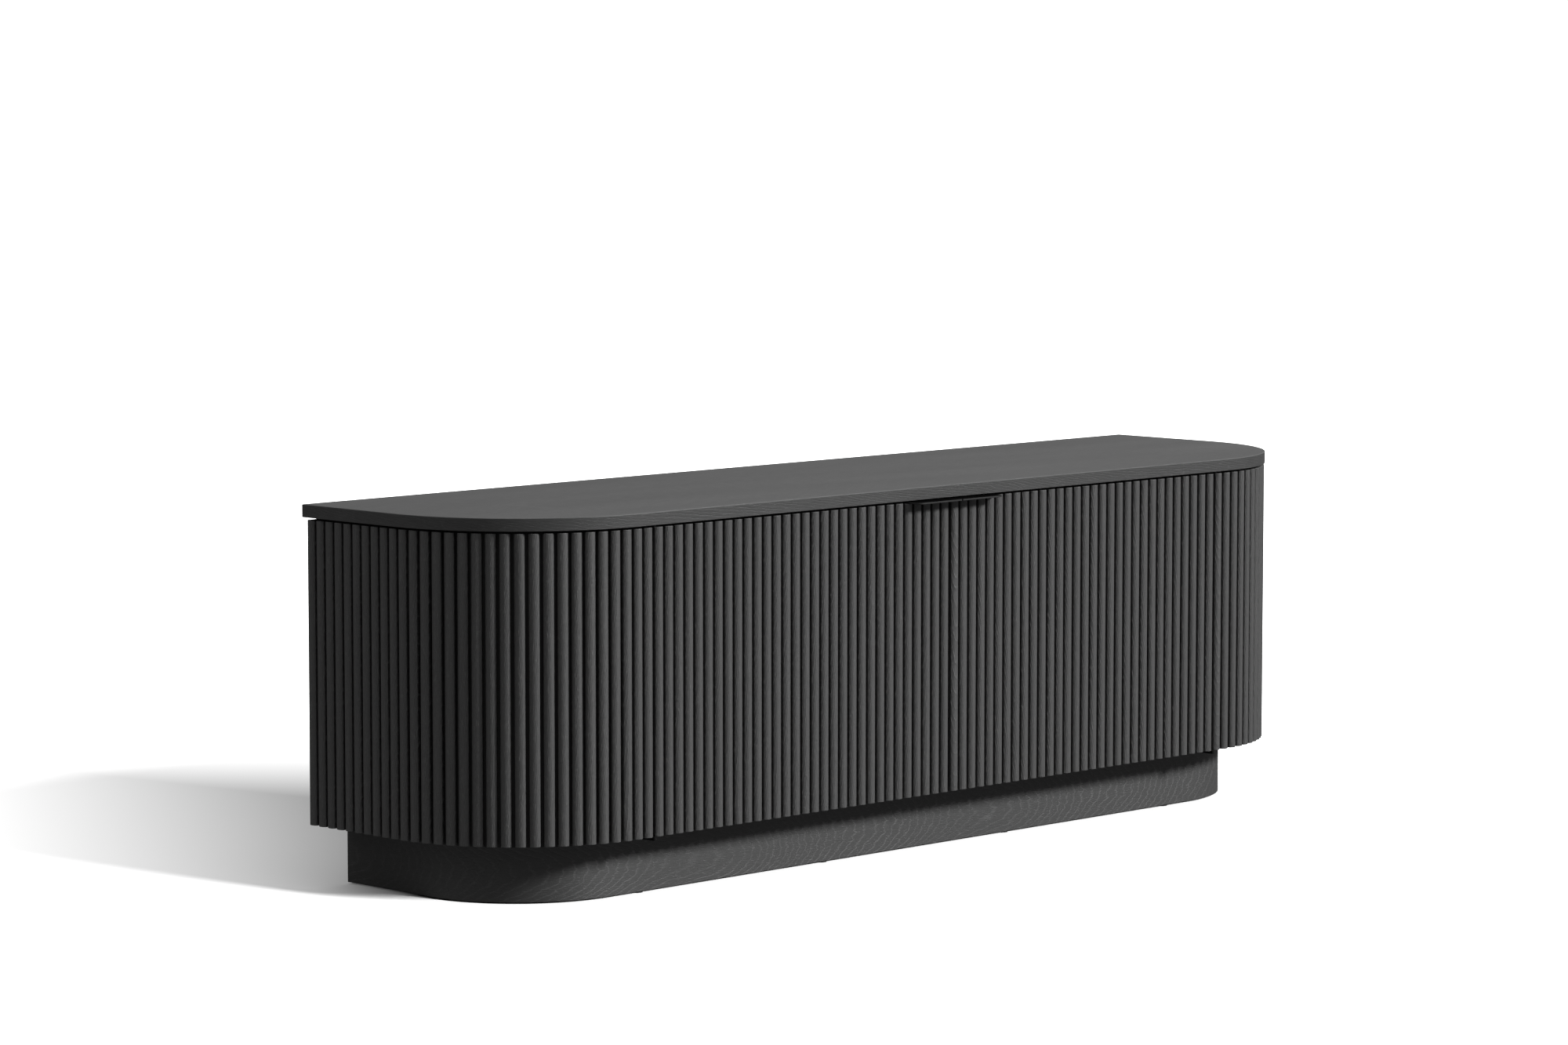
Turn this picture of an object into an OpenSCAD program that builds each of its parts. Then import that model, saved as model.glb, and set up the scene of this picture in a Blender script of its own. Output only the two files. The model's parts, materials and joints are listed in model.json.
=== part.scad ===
// Low fluted sideboard with a round-cornered top, two hinged doors and a set-back plinth.
// Millimetres. +Z is up, the front faces -Y, and the origin is on the floor, in the middle
// of the outline that the top and the two pulls make together.

/* [Overall] */
// Width over the top
top_w = 1600; // [1560:10:1640]
// Depth of the top
top_d = 400; // [400:5:440]
// Height from the floor to the top face
total_h = 500; // [460:5:560]

/* [Top] */
// Thickness of the top
top_t = 17; // [15:1:22]
// Radius of the two front corners of the top
top_corner_r = 219; // [215:1:222]
// How far the top stands out past the noses of the slats
top_overhang = 1; // [0.5:0.1:1.5]
// Height of the dark gap between the top and the fronts
reveal_h = 3; // [3:0.5:6]

/* [Slats] */
// Width of one slat
slat_w = 13.6; // [12:0.2:14]
// Depth of a slat, from the backing to the crown of its round nose
slat_d = 9.7; // [9:0.1:11]
// Radius of the round nose of a slat
slat_nose_r = 8.6; // [7.4:0.2:12]
// Distance from one slat to the next along the backing
slat_pitch = 17.76; // [17.6:0.02:17.8]
// Number of slats on each door
door_slats = 31; // [30:1:31]
// Number of slats on each rounded end
end_slats = 30; // [29:1:30]

/* [Boards] */
// Thickness of the boards that the slats are glued to
backing_t = 12; // [10:1:14]
// Thickness of the carcass boards, the partitions and the shelves
board_t = 16; // [15:1:19]
// Thickness of the back panels
back_t = 6; // [4:1:8]
// How far the carcass reaches below the doors, to carry the lower pivots
carcass_drop = 3; // [3:0.5:4]

/* [Doors] */
// Gap between the two doors
centre_gap = 2; // [1.5:0.5:3]
// Gap between a door and the rounded end beside it
seam_gap = 1; // [1:0.2:1.6]
// Gap between the back of a closed door and the carcass
front_gap = 2; // [2:0.5:3]
// How far the pivots stand behind the noses of the slats
pivot_inset = 3.2; // [3:0.1:3.8]

/* [Pulls] */
// Length of one pull
pull_w = 82; // [60:1:120]
// Thickness of the pull plate
pull_t = 2.5; // [2:0.1:3]
// How far a pull stands out in front of the top
pull_reach = 19; // [10:1:25]
// Radius of the outer front corner of a pull
pull_corner_r = 8; // [3:1:12]

/* [Plinth] */
// Height of the glides under the plinth
glide_h = 2; // [2:0.5:5]
// How far the plinth stands behind the noses of the slats at the front
plinth_setback = 61.2; // [50:0.2:80]
// How far the plinth stands in from the slats at each side
plinth_side_setback = 59.2; // [50:0.2:80]
// Outer radius of the round corners of the plinth
plinth_corner_r = 165; // [140:1:180]
// Thickness of the plinth boards
plinth_t = 18; // [16:1:20]
// Height of the underside of the slats above the floor
fronts_z = 83; // [75:1:110]

/* [Shelves] */
// Height of the underside of the shelves above the carcass bottom
shelf_lift = 174; // [100:1:240]
// How far a shelf stands behind the front edge of the carcass
shelf_inset = 22; // [15:1:60]

/* [Hidden] */

// How far a cut reaches past the face that it cuts
past = 1;

// Colours
oak_black = [0.085, 0.085, 0.085];
board_black = [0.06, 0.06, 0.06];
pull_black = [0.04, 0.04, 0.04];
steel = [0.45, 0.45, 0.46];
hinge_black = [0.05, 0.05, 0.05];
rubber = [0.03, 0.03, 0.03];

// Heights
top_z = total_h - top_t;
fronts_top_z = top_z - reveal_h;
fronts_h = fronts_top_z - fronts_z;
carcass_z = fronts_z - carcass_drop;
carcass_h = fronts_top_z - carcass_z;
inside_z = carcass_z + board_t;
inside_h = carcass_h - 2 * board_t;
shelf_z = inside_z + shelf_lift;
plinth_h = carcass_z - glide_h;

// Places from front to back
top_front_y = -(top_d + pull_reach) / 2 + pull_reach;
top_back_y = top_front_y + top_d;
nose_y = top_front_y + top_overhang;
backing_y = nose_y + slat_d;
backing_in_y = backing_y + backing_t;
carcass_front_y = backing_in_y + front_gap;

// The line that the slats follow on the outside of the backing: straight, round, straight
straight_x = top_w / 2 - top_corner_r;
backing_r = top_corner_r - top_overhang - slat_d;
backing_x = straight_x + backing_r;
arc_len = backing_r * PI / 2;

// Distance of slat n from the middle of the front, along the backing
function slat_run(n) =
    centre_gap / 2 + (n + 0.5) * slat_pitch + (n >= door_slats ? seam_gap : 0);

// Direction that a point of the line faces, in degrees away from the front
function run_angle(s) =
    s <= straight_x ? 0 :
    s <= straight_x + arc_len ? (s - straight_x) / arc_len * 90 : 90;

// Place of a point of the line, on the right-hand half
function run_place(s) =
    s <= straight_x ? [s, backing_y] :
    s <= straight_x + arc_len ?
        [straight_x + backing_r * sin(run_angle(s)),
         backing_y + backing_r * (1 - cos(run_angle(s)))] :
        [backing_x, backing_y + backing_r + s - straight_x - arc_len];

all_slats = door_slats + end_slats;
ends_back_y = run_place(slat_run(all_slats - 1))[1] + slat_w / 2;
carcass_back_y = ends_back_y - back_t;
carcass_x = backing_x - backing_t;

// The seam between a door and a rounded end, with the pivot in its middle
seam_x = centre_gap / 2 + door_slats * slat_pitch + seam_gap / 2;
door_x = seam_x - seam_gap / 2;
end_x = seam_x + seam_gap / 2;
pivot_y = nose_y + pivot_inset;

// Pivots
pin_r = 1.5;
pin_clearance = 0.05;
door_leaf_end_r = 2.4;
case_leaf_end_r = 3;
upper_leaf_t = 1.3;
lower_leaf_t = 1.5;
washer_t = 1.4;
upper_case_leaf_z = top_z - upper_leaf_t;
lower_case_leaf_z = carcass_z - lower_leaf_t;
lower_door_leaf_z = fronts_z - lower_leaf_t;
leaf_len = 44;
leaf_w = 9;
leaf_y = backing_y + backing_t / 2;
lower_leaf_w = 12;
lower_leaf_tail = 30;
lower_leaf_screws = [9, 22];
leaf_screws = [14, 36];

// Screws
screw_head_r = 2.6;
screw_head_h = 1.2;
screw_r = 1.3;
screw_len = 13;

// Pulls
pull_x = centre_gap / 2;
pull_front_y = top_front_y - pull_reach;
pull_d = backing_in_y - pull_front_y;
pull_rebate_h = 1;
pull_z = fronts_top_z - pull_rebate_h;
pull_screws_x = [18, 64];

// Catches, strike plates and bumpers
catch_w = 44;
catch_d = 14;
catch_h = 13;
catch_x = 50;
strike_w = 34;
strike_h = 12;
strike_t = 1.2;
strike_z = fronts_top_z - board_t - catch_h / 2;
catch_stand_out = 0.4;
bumper_r = 5;
bumper_t = 1.7;
bumpers_x = [catch_x, seam_x - 60];

// Shelves and shelf pins
shelf_gap = 1;
shelf_pin_r = 2.5;
shelf_pin_in = 7;
shelf_pin_out = 8;
shelf_pins_inset = 60;
shelf_pins_y = [carcass_front_y + shelf_pins_inset, carcass_back_y - shelf_pins_inset];

// Plinth
plinth_x = top_w / 2 - top_overhang - plinth_side_setback;
plinth_front_y = nose_y + plinth_setback;
plinth_back_setback = 8;
plinth_back_y = ends_back_y - plinth_back_setback;
brace_x = 380;
glide_r = 8;
glides_front_x = [-520, -180, 180, 520];
glides_back_x = [-640, 0, 640];

// Top spacer and the screws that hold the top down
spacer_inset = 4.3;
spacer_notch_margin = 4;
spacer_notch_x = seam_x + leaf_len + spacer_notch_margin;
top_screw_x = [-640, -380, -120, 120, 380, 640];
top_screw_front_inset = 50;
top_screw_back_inset = 45;
top_screws_y = [carcass_front_y + top_screw_front_inset, carcass_back_y - top_screw_back_inset];
top_screw_r = 2;
top_screw_head_r = 4;
top_screw_head_h = 2;
top_screw_bite = 11;

// Back panels and their screws
back_panel_gap = 0.5;
back_screw_x = [30, 180, 330, 480, 620, 740];
back_screw_head_h = 1.5;
back_screw_len = 20;

module on_side(side) {
    if (side < 0) {
        mirror([1, 0, 0]) children();
    } else {
        children();
    }
}

// A plate outline with a straight back and two round front corners
module d_outline(half_w, front_y, back_y, corner_r) {
    translate([-half_w, front_y + corner_r])
        square([2 * half_w, back_y - front_y - corner_r]);
    translate([corner_r - half_w, front_y])
        square([2 * (half_w - corner_r), corner_r]);
    for (side = [-1, 1])
        translate([side * (half_w - corner_r), front_y + corner_r])
            difference() {
                circle(r = corner_r, $fn = 180);
                translate([-corner_r - past, 0])
                    square([2 * (corner_r + past), corner_r + past]);
            }
}

// Countersunk wood screw, head up, with the top of its head at the origin
module wood_screw(head_r, head_h, shank_r, length) {
    translate([0, 0, -head_h])
        cylinder(h = head_h, r1 = shank_r, r2 = head_r, $fn = 32);
    translate([0, 0, -length])
        cylinder(h = length - head_h, r = shank_r, $fn = 32);
}

module small_screw() {
    wood_screw(screw_head_r, screw_head_h, screw_r, screw_len);
}

// ---------- top ----------

module top_panel() {
    color(oak_black)
        translate([0, 0, top_z])
            linear_extrude(top_t)
                d_outline(top_w / 2, top_front_y, top_back_y, top_corner_r);
}

// Outline of the carcass boards, inside the rounded ends and behind the doors
module carcass_outline() {
    difference() {
        d_outline(carcass_x, backing_in_y, carcass_back_y, backing_r - backing_t);
        translate([-seam_x, backing_in_y - past])
            square([2 * seam_x, front_gap + past]);
    }
}

// Thin sheet that lifts the top off the carcass, cut back behind the doors and their hinges
module top_spacer() {
    color(board_black)
        translate([0, 0, fronts_top_z])
            linear_extrude(reveal_h)
                difference() {
                    d_outline(backing_x - spacer_inset, backing_y + spacer_inset,
                              ends_back_y - spacer_inset, backing_r - spacer_inset);
                    translate([-spacer_notch_x, backing_y])
                        square([2 * spacer_notch_x, carcass_front_y - backing_y]);
                }
}

module place_top_screws() {
    for (x = top_screw_x)
        for (y = top_screws_y)
            translate([x, y, fronts_top_z - board_t])
                mirror([0, 0, 1]) children();
}

module top_screws() {
    color(steel)
        place_top_screws()
            wood_screw(top_screw_head_r, top_screw_head_h, top_screw_r,
                       board_t + reveal_h + top_screw_bite);
}

// ---------- carcass ----------

module carcass_top() {
    color(board_black)
        translate([0, 0, fronts_top_z - board_t])
            linear_extrude(board_t) carcass_outline();
}

module carcass_bottom() {
    color(board_black)
        translate([0, 0, carcass_z])
            linear_extrude(board_t) carcass_outline();
}

module upright_board(x, front_y) {
    translate([x, front_y, inside_z])
        cube([board_t, carcass_back_y - front_y, inside_h]);
}

// A row of two level pins or pin holes that start at x and run towards +X
module pin_row(x, length) {
    for (y = shelf_pins_y)
        translate([x, y, shelf_z - shelf_pin_r])
            rotate([0, 90, 0]) cylinder(h = length, r = shelf_pin_r, $fn = 32);
}

module centre_partition() {
    color(board_black)
        difference() {
            upright_board(-board_t / 2, carcass_front_y);
            for (side = [-1, 1])
                on_side(side) pin_row(board_t / 2 - shelf_pin_in, shelf_pin_in + past);
        }
}

// A partition stands just outside the seam, behind the flat end of the rounded shell
module side_partition(side) {
    color(board_black)
        on_side(side)
            difference() {
                upright_board(seam_x, backing_in_y);
                pin_row(seam_x - past, shelf_pin_in + past);
            }
}

module shelf_pins(side) {
    color(steel)
        on_side(side) {
            pin_row(seam_x - shelf_pin_out, shelf_pin_out + shelf_pin_in);
            pin_row(board_t / 2 - shelf_pin_in, shelf_pin_out + shelf_pin_in);
        }
}

module shelf(side) {
    color(board_black)
        on_side(side)
            translate([board_t / 2 + shelf_gap, carcass_front_y + shelf_inset, shelf_z])
                cube([seam_x - board_t / 2 - 2 * shelf_gap,
                      carcass_back_y - carcass_front_y - shelf_inset - shelf_gap, board_t]);
}

module back_panel(side) {
    color(board_black)
        on_side(side)
            translate([back_panel_gap, carcass_back_y, carcass_z])
                cube([carcass_x - 2 * back_panel_gap, back_t, carcass_h]);
}

module back_screws() {
    color(steel)
        for (side = [-1, 1])
            for (x = back_screw_x)
                for (z = [carcass_z, fronts_top_z - board_t])
                    translate([side * x, ends_back_y, z + board_t / 2])
                        rotate([-90, 0, 0])
                            wood_screw(screw_head_r, back_screw_head_h, screw_r, back_screw_len);
}

// ---------- rounded ends ----------

module end_shell(side) {
    color(board_black)
        on_side(side)
            translate([0, 0, fronts_z])
                linear_extrude(fronts_h)
                    difference() {
                        d_outline(backing_x, backing_y, ends_back_y, backing_r);
                        d_outline(carcass_x, backing_in_y, ends_back_y + past, backing_r - backing_t);
                        translate([-backing_x - past, backing_y - past])
                            square([backing_x + past + end_x, ends_back_y - backing_y + 2 * past]);
                    }
}

// Cross-section of a slat: a flat back on the backing, straight flanks and a round nose
module slat_outline() {
    intersection() {
        translate([-slat_w / 2, -slat_d]) square([slat_w, slat_d]);
        translate([0, slat_nose_r - slat_d]) circle(r = slat_nose_r, $fn = 96);
    }
}

module slat_row(first, last) {
    for (n = [first : last]) {
        place = run_place(slat_run(n));
        translate([place[0], place[1], fronts_z])
            rotate([0, 0, run_angle(slat_run(n))])
                linear_extrude(fronts_h) slat_outline();
    }
}

module end_slats_node(side) {
    color(oak_black) on_side(side) slat_row(door_slats, all_slats - 1);
}

// ---------- doors ----------

module pull_outline() {
    difference() {
        translate([pull_x, pull_front_y]) square([pull_w, pull_d]);
        translate([pull_x + pull_w - pull_corner_r, pull_front_y - past])
            square([pull_corner_r + past, pull_corner_r + past]);
    }
    translate([pull_x + pull_w - pull_corner_r, pull_front_y + pull_corner_r])
        circle(r = pull_corner_r, $fn = 64);
}

// The shallow rebate in the top of a door that the pull lies in
module pull_rebate() {
    translate([pull_x - past, pull_front_y, pull_z])
        cube([pull_w + past, pull_d + past, pull_t]);
}

module door_panel(side) {
    color(board_black)
        on_side(side)
            difference() {
                translate([pull_x, backing_y, fronts_z])
                    cube([door_x - pull_x, backing_t, fronts_h]);
                pull_rebate();
            }
}

module door_slats_node(side) {
    color(oak_black)
        on_side(side)
            difference() {
                slat_row(0, door_slats - 1);
                pull_rebate();
            }
}

module place_pull_screws() {
    for (x = pull_screws_x)
        translate([pull_x + x, leaf_y, pull_z + pull_t]) children();
}

module pull(side) {
    color(pull_black)
        on_side(side)
            difference() {
                translate([0, 0, pull_z]) linear_extrude(pull_t) pull_outline();
                place_pull_screws() small_screw();
            }
}

module pull_screws(side) {
    color(steel) on_side(side) place_pull_screws() small_screw();
}

// Plate of a pivot hinge, all on one side of the pivot: dir is -1 on the door's side
module leaf_outline(dir, end_r) {
    translate([seam_x, pivot_y]) circle(r = end_r, $fn = 48);
    translate([dir > 0 ? seam_x : seam_x - end_r, pivot_y])
        square([end_r, leaf_y - pivot_y]);
    translate([dir > 0 ? seam_x : seam_x - leaf_len, leaf_y - leaf_w / 2])
        square([leaf_len, leaf_w]);
}

module place_leaf_screws(dir, z) {
    for (x = leaf_screws)
        translate([seam_x + dir * x, leaf_y, z]) children();
}

module pivot_hole(r) {
    translate([seam_x, pivot_y, 0])
        cylinder(h = total_h, r = r, $fn = 48);
}

module upper_case_leaf(side) {
    color(hinge_black)
        on_side(side)
            difference() {
                translate([0, 0, upper_case_leaf_z])
                    linear_extrude(upper_leaf_t) leaf_outline(1, case_leaf_end_r);
                pivot_hole(pin_r);
                place_leaf_screws(1, upper_case_leaf_z) mirror([0, 0, 1]) small_screw();
            }
}

module place_lower_case_screws() {
    for (inset = lower_leaf_screws)
        translate([seam_x, carcass_front_y + inset, lower_case_leaf_z])
            mirror([0, 0, 1]) children();
}

module lower_case_leaf(side) {
    color(hinge_black)
        on_side(side)
            difference() {
                translate([0, 0, lower_case_leaf_z])
                    linear_extrude(lower_leaf_t) {
                        translate([seam_x, pivot_y]) circle(r = case_leaf_end_r, $fn = 48);
                        translate([seam_x - case_leaf_end_r, pivot_y])
                            square([2 * case_leaf_end_r, leaf_y - pivot_y]);
                        translate([seam_x - lower_leaf_w / 2, leaf_y])
                            square([lower_leaf_w, carcass_front_y + lower_leaf_tail - leaf_y]);
                    }
                pivot_hole(pin_r);
                place_lower_case_screws() small_screw();
            }
}

module upper_door_leaf(side) {
    color(hinge_black)
        on_side(side)
            difference() {
                translate([0, 0, fronts_top_z])
                    linear_extrude(upper_leaf_t) leaf_outline(-1, door_leaf_end_r);
                pivot_hole(pin_r + pin_clearance);
                place_leaf_screws(-1, fronts_top_z + upper_leaf_t) small_screw();
            }
}

module lower_door_leaf(side) {
    color(hinge_black)
        on_side(side)
            difference() {
                translate([0, 0, lower_door_leaf_z])
                    linear_extrude(lower_leaf_t) leaf_outline(-1, door_leaf_end_r);
                pivot_hole(pin_r + pin_clearance);
                place_leaf_screws(-1, lower_door_leaf_z) mirror([0, 0, 1]) small_screw();
            }
}

module door_screws(side) {
    color(hinge_black)
        on_side(side) {
            place_leaf_screws(-1, fronts_top_z + upper_leaf_t) small_screw();
            place_leaf_screws(-1, lower_door_leaf_z) mirror([0, 0, 1]) small_screw();
        }
}

module case_screws(side) {
    color(hinge_black)
        on_side(side) {
            place_leaf_screws(1, upper_case_leaf_z) mirror([0, 0, 1]) small_screw();
            place_lower_case_screws() small_screw();
        }
}

module hinge_pin(side, bottom_z, top_end_z) {
    color(hinge_black)
        on_side(side)
            translate([seam_x, pivot_y, bottom_z])
                cylinder(h = top_end_z - bottom_z, r = pin_r, $fn = 48);
}

module hinge_washer(side) {
    color(hinge_black)
        on_side(side)
            translate([seam_x, pivot_y, carcass_z])
                difference() {
                    cylinder(h = washer_t, r = case_leaf_end_r, $fn = 48);
                    translate([0, 0, -past]) cylinder(h = washer_t + 2 * past, r = pin_r, $fn = 48);
                }
}

// ---------- catches ----------

module magnet_catch(side) {
    color(board_black)
        on_side(side)
            translate([catch_x - catch_w / 2, carcass_front_y - catch_stand_out,
                       fronts_top_z - board_t - catch_h])
                cube([catch_w, catch_d, catch_h]);
}

module strike_plate(side) {
    color(steel)
        on_side(side)
            translate([catch_x - strike_w / 2, backing_in_y, strike_z - strike_h / 2])
                cube([strike_w, strike_t, strike_h]);
}

// Two soft pads on the front edge of the bottom board, for each door to close on
module bumpers(side) {
    color(rubber)
        on_side(side)
            for (x = bumpers_x)
                translate([x, carcass_front_y, carcass_z + board_t / 2])
                    rotate([90, 0, 0]) cylinder(h = bumper_t, r = bumper_r, $fn = 32);
}

// ---------- plinth ----------

module plinth_skirt() {
    color(oak_black)
        translate([0, 0, glide_h])
            linear_extrude(plinth_h)
                difference() {
                    d_outline(plinth_x, plinth_front_y, plinth_back_y, plinth_corner_r);
                    d_outline(plinth_x - plinth_t, plinth_front_y + plinth_t,
                              plinth_back_y + past, plinth_corner_r - plinth_t);
                }
}

module plinth_back_rail() {
    color(board_black)
        translate([plinth_t - plinth_x, plinth_back_y - plinth_t, glide_h])
            cube([2 * (plinth_x - plinth_t), plinth_t, plinth_h]);
}

module plinth_brace(x) {
    color(board_black)
        translate([x - plinth_t / 2, plinth_front_y + plinth_t, glide_h])
            cube([plinth_t, plinth_back_y - plinth_front_y - 2 * plinth_t, plinth_h]);
}

module glides() {
    color(rubber) {
        for (x = glides_front_x)
            translate([x, plinth_front_y + plinth_t / 2, 0])
                cylinder(h = glide_h, r = glide_r, $fn = 32);
        for (x = glides_back_x)
            translate([x, plinth_back_y - plinth_t / 2, 0])
                cylinder(h = glide_h, r = glide_r, $fn = 32);
        for (side = [-1, 1])
            translate([side * (plinth_x - plinth_t / 2), plinth_front_y + plinth_corner_r, 0])
                cylinder(h = glide_h, r = glide_r, $fn = 32);
    }
}

top_panel();
top_spacer();
carcass_top();
carcass_bottom();
centre_partition();
side_partition(-1);  // left_partition
side_partition(1);  // right_partition
back_panel(-1);  // left_back_panel
back_panel(1);  // right_back_panel
back_screws();
end_shell(-1);  // left_end_shell
end_shell(1);  // right_end_shell
end_slats_node(-1);  // left_end_slats
end_slats_node(1);  // right_end_slats
shelf(-1);  // left_shelf
shelf(1);  // right_shelf
shelf_pins(-1);  // left_shelf_pins
shelf_pins(1);  // right_shelf_pins
plinth_skirt();
plinth_back_rail();
plinth_brace(-brace_x);  // plinth_left_brace
plinth_brace(0);  // plinth_centre_brace
plinth_brace(brace_x);  // plinth_right_brace
glides();
top_screws();
upper_case_leaf(-1);  // left_upper_case_leaf
lower_case_leaf(-1);  // left_lower_case_leaf
upper_case_leaf(1);  // right_upper_case_leaf
lower_case_leaf(1);  // right_lower_case_leaf
hinge_pin(-1, fronts_top_z, top_z);  // left_upper_hinge_pin
hinge_pin(-1, lower_case_leaf_z, fronts_z);  // left_lower_hinge_pin
hinge_pin(1, fronts_top_z, top_z);  // right_upper_hinge_pin
hinge_pin(1, lower_case_leaf_z, fronts_z);  // right_lower_hinge_pin
hinge_washer(-1);  // left_hinge_washer
hinge_washer(1);  // right_hinge_washer
case_screws(-1);  // left_case_screws
case_screws(1);  // right_case_screws
magnet_catch(-1);  // left_magnet_catch
magnet_catch(1);  // right_magnet_catch
bumpers(-1);  // left_bumpers
bumpers(1);  // right_bumpers
door_panel(-1);  // left_door_panel
door_slats_node(-1);  // left_door_slats
pull(-1);  // left_pull
pull_screws(-1);  // left_pull_screws
upper_door_leaf(-1);  // left_upper_door_leaf
lower_door_leaf(-1);  // left_lower_door_leaf
door_screws(-1);  // left_door_screws
strike_plate(-1);  // left_strike_plate
door_panel(1);  // right_door_panel
door_slats_node(1);  // right_door_slats
pull(1);  // right_pull
pull_screws(1);  // right_pull_screws
upper_door_leaf(1);  // right_upper_door_leaf
lower_door_leaf(1);  // right_lower_door_leaf
door_screws(1);  // right_door_screws
strike_plate(1);  // right_strike_plate
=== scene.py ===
"""Looks of a low fluted sideboard in black-stained oak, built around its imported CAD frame.

Everything is in metres in the frame's own axes: +Z up, the doors face -Y.
"""
import json
import math

import bpy
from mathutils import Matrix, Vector


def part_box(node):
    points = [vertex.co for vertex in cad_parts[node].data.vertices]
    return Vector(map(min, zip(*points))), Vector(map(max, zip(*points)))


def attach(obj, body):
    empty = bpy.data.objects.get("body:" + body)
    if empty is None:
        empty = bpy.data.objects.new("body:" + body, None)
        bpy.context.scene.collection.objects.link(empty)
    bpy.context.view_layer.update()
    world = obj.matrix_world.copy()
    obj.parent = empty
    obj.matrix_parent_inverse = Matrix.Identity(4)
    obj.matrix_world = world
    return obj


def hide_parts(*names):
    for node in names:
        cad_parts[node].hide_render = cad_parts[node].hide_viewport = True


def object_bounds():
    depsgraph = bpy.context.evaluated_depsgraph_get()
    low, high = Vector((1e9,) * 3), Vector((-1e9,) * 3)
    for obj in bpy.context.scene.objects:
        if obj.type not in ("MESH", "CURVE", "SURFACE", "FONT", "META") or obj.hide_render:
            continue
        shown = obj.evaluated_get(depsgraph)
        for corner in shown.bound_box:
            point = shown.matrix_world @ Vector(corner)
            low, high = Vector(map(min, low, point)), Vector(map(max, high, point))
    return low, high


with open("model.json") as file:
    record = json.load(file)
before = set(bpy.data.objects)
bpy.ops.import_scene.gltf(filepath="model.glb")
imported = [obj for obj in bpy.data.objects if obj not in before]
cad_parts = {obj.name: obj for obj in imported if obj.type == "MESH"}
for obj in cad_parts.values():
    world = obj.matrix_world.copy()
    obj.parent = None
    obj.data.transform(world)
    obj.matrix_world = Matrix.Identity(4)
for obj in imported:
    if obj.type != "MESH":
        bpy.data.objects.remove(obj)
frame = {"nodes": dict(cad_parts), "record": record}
cad_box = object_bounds()

# ---------------------------------------------------------------- sizes

MM = 0.001

SLAT_WIDTH = 13.6 * MM
SLAT_NOSE_RADIUS = 8.6 * MM
SLAT_END_ROUND = 0.5 * MM
NOSE_STEPS = 22
DOOR_SLATS = 31
END_SLATS = 30

TOP_CORNER_RADIUS = 219 * MM
TOP_UPPER_ROUND = 1.1 * MM
TOP_LOWER_ROUND = 0.6 * MM
PLINTH_CORNER_RADIUS = 165 * MM
PLINTH_THICKNESS = 18 * MM
PLINTH_ROUND = 0.5 * MM
PULL_CORNER_RADIUS = 8 * MM
PULL_INNER_RADIUS = 1.2 * MM
PULL_ROUND = 0.45 * MM
CORNER_STEPS = 56
SMALL_CORNER_STEPS = 10
ROUND_STEPS = 3

# Edges that turn by more degrees than this are shaded as sharp.
SHARP_ANGLE = 34
# Distance from an edge, in its own rounds, of the ring that keeps the side's shading flat.
SUPPORT_RING = 1.6
# Each slat of a row is cut from its own place in the wood: metres moved across, outwards and up.
CUT_STEP = (0.31, 0.17, 0.73)
CUT_REPEAT = 7

top_low, top_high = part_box("top_panel")
door_low, door_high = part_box("right_door_slats")
end_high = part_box("right_end_slats")[1]
backing_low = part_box("right_door_panel")[0]
plinth_low, plinth_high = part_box("plinth_skirt")
pull_low, pull_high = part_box("right_pull")

nose_y = door_low.y
backing_y = backing_low.y
slat_depth = backing_y - nose_y
slat_pitch = (door_high.x - door_low.x - SLAT_WIDTH) / (DOOR_SLATS - 1)
first_slat_x = door_low.x + SLAT_WIDTH / 2

# The slats of one half lie along a path that starts at the middle of the front.
backing_x = end_high.x - slat_depth
backing_radius = TOP_CORNER_RADIUS - (backing_y - top_low.y)
straight_x = backing_x - backing_radius
arc_length = backing_radius * math.pi / 2
last_run = straight_x + arc_length + end_high.y - SLAT_WIDTH / 2 - backing_y - backing_radius
first_end_run = last_run - (END_SLATS - 1) * slat_pitch


# ---------------------------------------------------------------- mesh helpers

def make_object(name, vertices, faces, grain, marks):
    """A mesh object. grain has one vector for each corner of each face; its Z runs along the fibres.

    marks holds named numbers for each vertex, such as edge rubbing with a painted highlight, or how
    recessed it is.
    """
    mesh = bpy.data.meshes.new(name)
    mesh.from_pydata(vertices, [], faces)
    corner_grain = mesh.attributes.new("grain", "FLOAT_VECTOR", "CORNER")
    flat = [value for face in grain for corner in face for value in corner]
    corner_grain.data.foreach_set("vector", flat)
    for mark, values in marks.items():
        mesh.attributes.new(mark, "FLOAT", "POINT").data.foreach_set("value", values)
    mesh.validate()
    mesh.shade_smooth()
    mesh.set_sharp_from_angle(angle=math.radians(SHARP_ANGLE))
    piece = bpy.data.objects.new(name, mesh)
    bpy.context.scene.collection.objects.link(piece)
    return piece


def arc(centre, radius, start, end, steps):
    """Points of an arc, with its angles in degrees, both ends included."""
    points = []
    for step in range(steps + 1):
        angle = math.radians(start + (end - start) * step / steps)
        points.append((centre[0] + radius * math.cos(angle), centre[1] + radius * math.sin(angle)))
    return points


def inset_outline(outline, distance):
    """A closed, anticlockwise outline moved inwards, with mitred corners."""
    count = len(outline)
    moved = []
    for index in range(count):
        before, here, after = (Vector(outline[(index + k) % count]) for k in (-1, 0, 1))
        into = (here - before).normalized()
        out = (after - here).normalized()
        normal_in = Vector((-into.y, into.x))
        normal_out = Vector((-out.y, out.x))
        mitre = (normal_in + normal_out) / (1 + normal_in.dot(normal_out))
        moved.append(tuple(here + mitre * distance))
    return moved


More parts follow.
